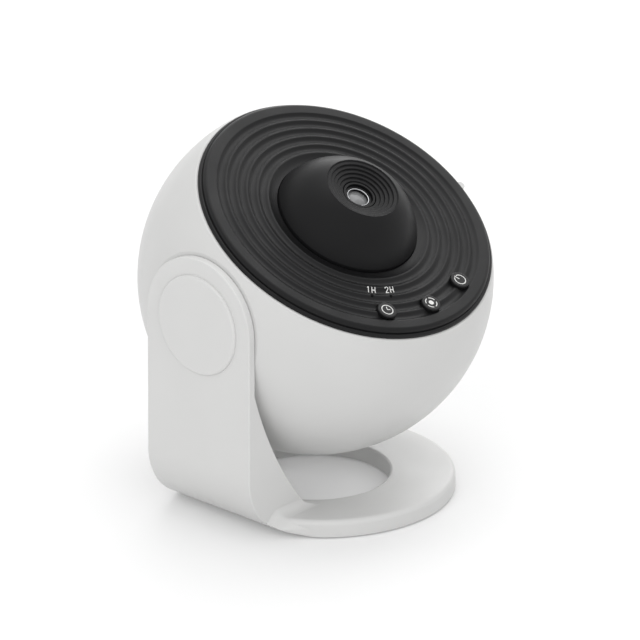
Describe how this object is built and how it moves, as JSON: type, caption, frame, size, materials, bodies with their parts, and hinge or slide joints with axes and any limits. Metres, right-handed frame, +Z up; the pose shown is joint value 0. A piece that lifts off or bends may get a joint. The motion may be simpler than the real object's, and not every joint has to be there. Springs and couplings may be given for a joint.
{
  "type": "planetarium projector",
  "caption": "Ball-shaped planetarium projector that tilts on a one-armed stand, with a rippled face plate, focusing dome, buttons and a sliding film-disc tray.",
  "frame": {"origin": "on the table, under the middle of the part's box", "axes": "+Z up; the arm is at -X; the face plate tips towards -Y, the front"},
  "size_m": [0.1284, 0.1298, 0.1356],
  "materials": {
    "white_plastic": "fine satin moulding, off-white",
    "cover_plastic": "plain matte moulding, light grey",
    "black_plastic": "matte black moulding with a fine grain",
    "dome_plastic": "matte black moulding, deeper than the plate",
    "frame_plastic": "plain matte moulding, dark grey",
    "gear_plastic": "unpainted natural acetal",
    "rubber": "matte black rubber",
    "steel": "zinc-plated steel",
    "aluminium": "clear anodised extrusion",
    "lens_glass": "clear coated glass",
    "film": "dark printed film",
    "board": "green solder resist",
    "led": "phosphor under clear silicone",
    "light_pipe": "milky light pipe"
  },
  "bodies": {
    "stand": {"stand": "white_plastic", "base_cover": "cover_plastic", "base_screws": "steel", "foot_ring": "rubber", "friction_washer": "rubber", "pivot_cap": "white_plastic"},
    "head": {"shell": "white_plastic", "pivot_hub": "frame_plastic", "hub_screws": "steel", "bezel": "black_plastic", "dome_retainer": "black_plastic", "retainer_screws": "steel", "chassis": "frame_plastic", "chassis_screws": "steel", "guide_pins": "steel", "condenser_lens": "lens_glass", "led_board": "aluminium", "led_emitter": "led", "heat_sink": "aluminium", "heat_sink_screws": "steel", "drive_motor": "steel", "motor_screws": "steel", "switch_board": "board", "board_screws": "steel", "tact_switches": "frame_plastic", "indicator_lights": "light_pipe", "main_board": "board", "main_board_screws": "steel", "usb_socket": "steel"},
    "power_key": {"power_button": "black_plastic"},
    "rotate_key": {"rotate_button": "black_plastic"},
    "timer_key": {"timer_button": "black_plastic"},
    "tray": {"disc_tray": "white_plastic"},
    "disc": {"disc_gear": "gear_plastic", "film_disc": "film"},
    "pinion": {"drive_pinion": "gear_plastic"},
    "focus_dome": {"dome": "dome_plastic"},
    "lens_group": {"lens_barrel": "dome_plastic", "front_lens": "lens_glass", "lens_trim": "steel", "rear_lens": "lens_glass", "lens_retainer": "black_plastic"}
  },
  "joints": [
    {"name": "head_tilt", "type": "hinge", "parent": "stand", "child": "head", "pos_m": [-0.00075, -0.00004, 0.0799], "axis": [1, 0, 0], "range_deg": [-60, 75]},
    {"name": "power_press", "type": "slide", "parent": "head", "child": "power_key", "axis": [0, 0.4939, -0.8695], "range_m": [0, 0.0005], "stiffness_N_per_m": 300, "springref_m": -0.002},
    {"name": "rotate_press", "type": "slide", "parent": "head", "child": "rotate_key", "axis": [0, 0.4939, -0.8695], "range_m": [0, 0.0005], "stiffness_N_per_m": 300, "springref_m": -0.002},
    {"name": "timer_press", "type": "slide", "parent": "head", "child": "timer_key", "axis": [0, 0.4939, -0.8695], "range_m": [0, 0.0005], "stiffness_N_per_m": 300, "springref_m": -0.002},
    {"name": "tray_slide", "type": "slide", "parent": "head", "child": "tray", "axis": [1, 0, 0], "range_m": [0, 0.062]},
    {"name": "disc_spin", "type": "hinge", "parent": "tray", "child": "disc", "pos_m": [-0.00075, -0.00004, 0.0799], "axis": [0, -0.4939, 0.8695], "continuous": true},
    {"name": "pinion_spin", "type": "hinge", "parent": "head", "child": "pinion", "pos_m": [-0.03235, -0.00004, 0.0799], "axis": [0, -0.4939, 0.8695], "continuous": true},
    {"name": "dome_turn", "type": "hinge", "parent": "head", "child": "focus_dome", "pos_m": [-0.00075, -0.00004, 0.0799], "axis": [0, -0.4939, 0.8695], "range_deg": [-60, 60]},
    {"name": "lens_focus", "type": "slide", "parent": "head", "child": "lens_group", "axis": [0, -0.4939, 0.8695], "range_m": [-0.0018, 0.0018]}
  ],
  "couplings": [
    {"joint": "pinion_spin", "follows": "disc_spin", "ratio": -6},
    {"joint": "lens_focus", "follows": "dome_turn", "m_per_rad": 0.0017}
  ]
}
